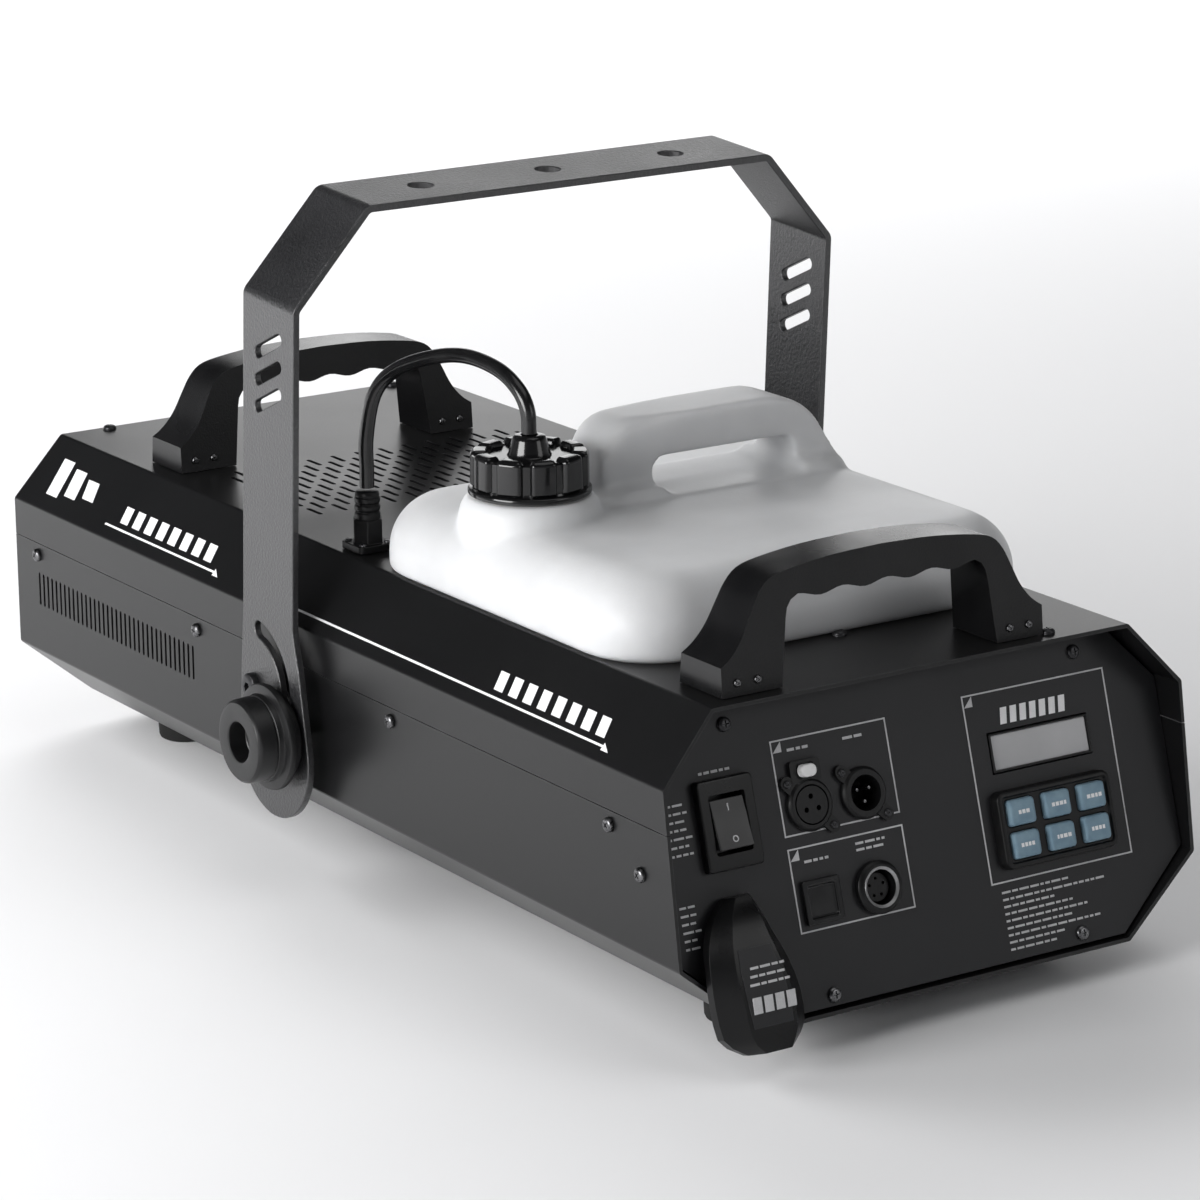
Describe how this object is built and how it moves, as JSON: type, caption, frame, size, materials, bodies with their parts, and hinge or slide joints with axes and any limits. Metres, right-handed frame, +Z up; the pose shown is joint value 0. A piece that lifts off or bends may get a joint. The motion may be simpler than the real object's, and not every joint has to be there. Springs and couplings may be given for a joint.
{
  "type": "fog machine",
  "caption": "Stage fog machine: octagonal steel housing with a leaning control panel, lift-out fluid tank with cap and hose, two carrying handles and a tilting hanging yoke with clamp knobs.",
  "frame": {"origin": "centre of the bounding box in X and Y, on the plane the feet stand on", "axes": "+Z up, +Y along the length from the control panel to the nozzle, +X across to the right of someone facing the panel"},
  "size_m": [0.3972, 0.7315, 0.3753],
  "materials": {
    "black_steel": "black powder coat, satin",
    "panel_black": "charcoal paint with light printed lines",
    "yoke_steel": "dark grey textured powder coat",
    "black_plastic": "black moulded plastic, semi-gloss",
    "tank_plastic": "natural translucent polyethylene",
    "key_blue": "blue-grey silicone keys",
    "display_grey": "light grey display window",
    "bright_steel": "bright zinc screws",
    "plain_steel": "plain steel",
    "brass": "brass",
    "aluminium": "cast aluminium",
    "rubber": "black rubber",
    "circuit_green": "green circuit board with black parts",
    "white_wrap": "mineral fibre heat jacket",
    "clear_tube": "translucent tube"
  },
  "bodies": {
    "housing": {"bottom_tray": "black_steel", "top_cover": "black_steel", "front_panel": "black_steel", "tank_well": "black_steel", "nozzle_ring": "black_steel", "rear_panel": "panel_black", "hose": "black_plastic", "hose_fitting": "black_plastic", "handle_rear": "black_plastic", "handle_front": "black_plastic", "dmx_out_socket": "black_plastic", "dmx_in_socket": "black_plastic", "remote_socket": "black_plastic", "wireless_socket": "black_plastic", "keypad_bezel": "black_plastic", "switch_bezel": "black_plastic", "inlet_hood": "black_plastic", "feed_tube": "clear_tube", "nozzle": "brass", "pump_body": "brass", "pivot_bolt_left": "plain_steel", "pivot_bolt_right": "plain_steel", "pivot_spacer_left": "plain_steel", "pivot_spacer_right": "plain_steel", "clamp_stud_left": "plain_steel", "clamp_stud_right": "plain_steel", "pump_bracket": "plain_steel", "transformer": "plain_steel", "heater_block": "aluminium", "heater_jacket": "white_wrap", "circuit_board": "circuit_green", "display_window": "display_grey", "foot_1": "rubber", "foot_2": "rubber", "foot_3": "rubber", "foot_4": "rubber", "side_screw_left_1": "bright_steel", "side_screw_left_2": "bright_steel", "side_screw_left_3": "bright_steel", "side_screw_left_4": "bright_steel", "side_screw_right_1": "bright_steel", "side_screw_right_2": "bright_steel", "side_screw_right_3": "bright_steel", "side_screw_right_4": "bright_steel"},
    "yoke": {"yoke": "yoke_steel"},
    "clamp_knob_left": {"clamp_knob_left": "black_plastic"},
    "clamp_knob_right": {"clamp_knob_right": "black_plastic"},
    "tank": {"tank": "tank_plastic"},
    "tank_cap": {"tank_cap": "black_plastic", "pickup_tube": "clear_tube", "intake_filter": "brass"},
    "power_rocker": {"power_rocker": "black_plastic"},
    "dmx_out_latch": {"dmx_out_latch": "display_grey"},
    "key_1": {"key_1": "key_blue"},
    "key_2": {"key_2": "key_blue"},
    "key_3": {"key_3": "key_blue"},
    "key_4": {"key_4": "key_blue"},
    "key_5": {"key_5": "key_blue"},
    "key_6": {"key_6": "key_blue"}
  },
  "joints": [
    {"name": "yoke_tilt", "type": "hinge", "parent": "housing", "child": "yoke", "pos_m": [0, 0.042, 0.106], "axis": [1, 0, 0], "range_deg": [-30, 25]},
    {"name": "clamp_knob_left_turn", "type": "hinge", "parent": "housing", "child": "clamp_knob_left", "pos_m": [-0.185, 0.01449, 0.08602], "axis": [-1, 0, 0], "range_deg": [0, 720]},
    {"name": "clamp_knob_right_turn", "type": "hinge", "parent": "housing", "child": "clamp_knob_right", "pos_m": [0.185, 0.01449, 0.08602], "axis": [1, 0, 0], "range_deg": [0, 720]},
    {"name": "tank_lift", "type": "slide", "parent": "housing", "child": "tank", "axis": [0, 0, 1], "range_m": [0, 0.06], "deforming": ["hose"]},
    {"name": "cap_turn", "type": "hinge", "parent": "tank", "child": "tank_cap", "pos_m": [-0.0855, -0.1, 0.24], "axis": [0, 0, 1], "range_deg": [0, 540]},
    {"name": "rocker_tilt", "type": "hinge", "parent": "housing", "child": "power_rocker", "pos_m": [-0.116, -0.31974, 0.11682], "axis": [1, 0, 0], "range_deg": [0, 17]},
    {"name": "latch_press", "type": "slide", "parent": "housing", "child": "dmx_out_latch", "axis": [0, 0.9588, -0.284], "range_m": [0, 0.0014], "stiffness_N_per_m": 500},
    {"name": "key_1_press", "type": "slide", "parent": "housing", "child": "key_1", "axis": [0, 0.9588, -0.284], "range_m": [0, 0.0008], "stiffness_N_per_m": 600},
    {"name": "key_2_press", "type": "slide", "parent": "housing", "child": "key_2", "axis": [0, 0.9588, -0.284], "range_m": [0, 0.0008], "stiffness_N_per_m": 600},
    {"name": "key_3_press", "type": "slide", "parent": "housing", "child": "key_3", "axis": [0, 0.9588, -0.284], "range_m": [0, 0.0008], "stiffness_N_per_m": 600},
    {"name": "key_4_press", "type": "slide", "parent": "housing", "child": "key_4", "axis": [0, 0.9588, -0.284], "range_m": [0, 0.0008], "stiffness_N_per_m": 600},
    {"name": "key_5_press", "type": "slide", "parent": "housing", "child": "key_5", "axis": [0, 0.9588, -0.284], "range_m": [0, 0.0008], "stiffness_N_per_m": 600},
    {"name": "key_6_press", "type": "slide", "parent": "housing", "child": "key_6", "axis": [0, 0.9588, -0.284], "range_m": [0, 0.0008], "stiffness_N_per_m": 600}
  ]
}
